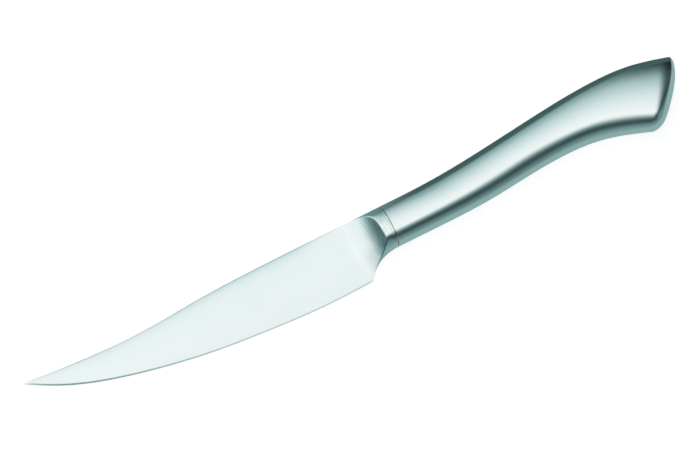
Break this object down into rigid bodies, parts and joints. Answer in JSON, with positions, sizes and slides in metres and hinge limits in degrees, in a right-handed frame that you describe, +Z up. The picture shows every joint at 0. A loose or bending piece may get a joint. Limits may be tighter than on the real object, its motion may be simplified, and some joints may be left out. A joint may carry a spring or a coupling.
{
  "type": "dressing knife",
  "caption": "Kitchen knife with a forged, upswept blade, a scooped bolster and a curved hollow steel handle, for cutting and dressing food.",
  "frame": {"origin": "middle of the knife's underside as it lies on its right side", "axes": "+X from the point to the butt, +Y towards the back of the blade, +Z up, square to the blade's middle plane"},
  "size_m": [0.2884, 0.0328, 0.016],
  "materials": {
    "blade_steel": "fine satin grind on the blade, brushed across on the bolster",
    "handle_steel": "satin, brushed across the handle",
    "cement": "rough cast resin cement, hidden in the handle"
  },
  "bodies": {
    "root": {"blade": "blade_steel", "handle_shell_left": "handle_steel", "handle_shell_right": "handle_steel", "tang_cement": "cement"}
  },
  "joints": []
}
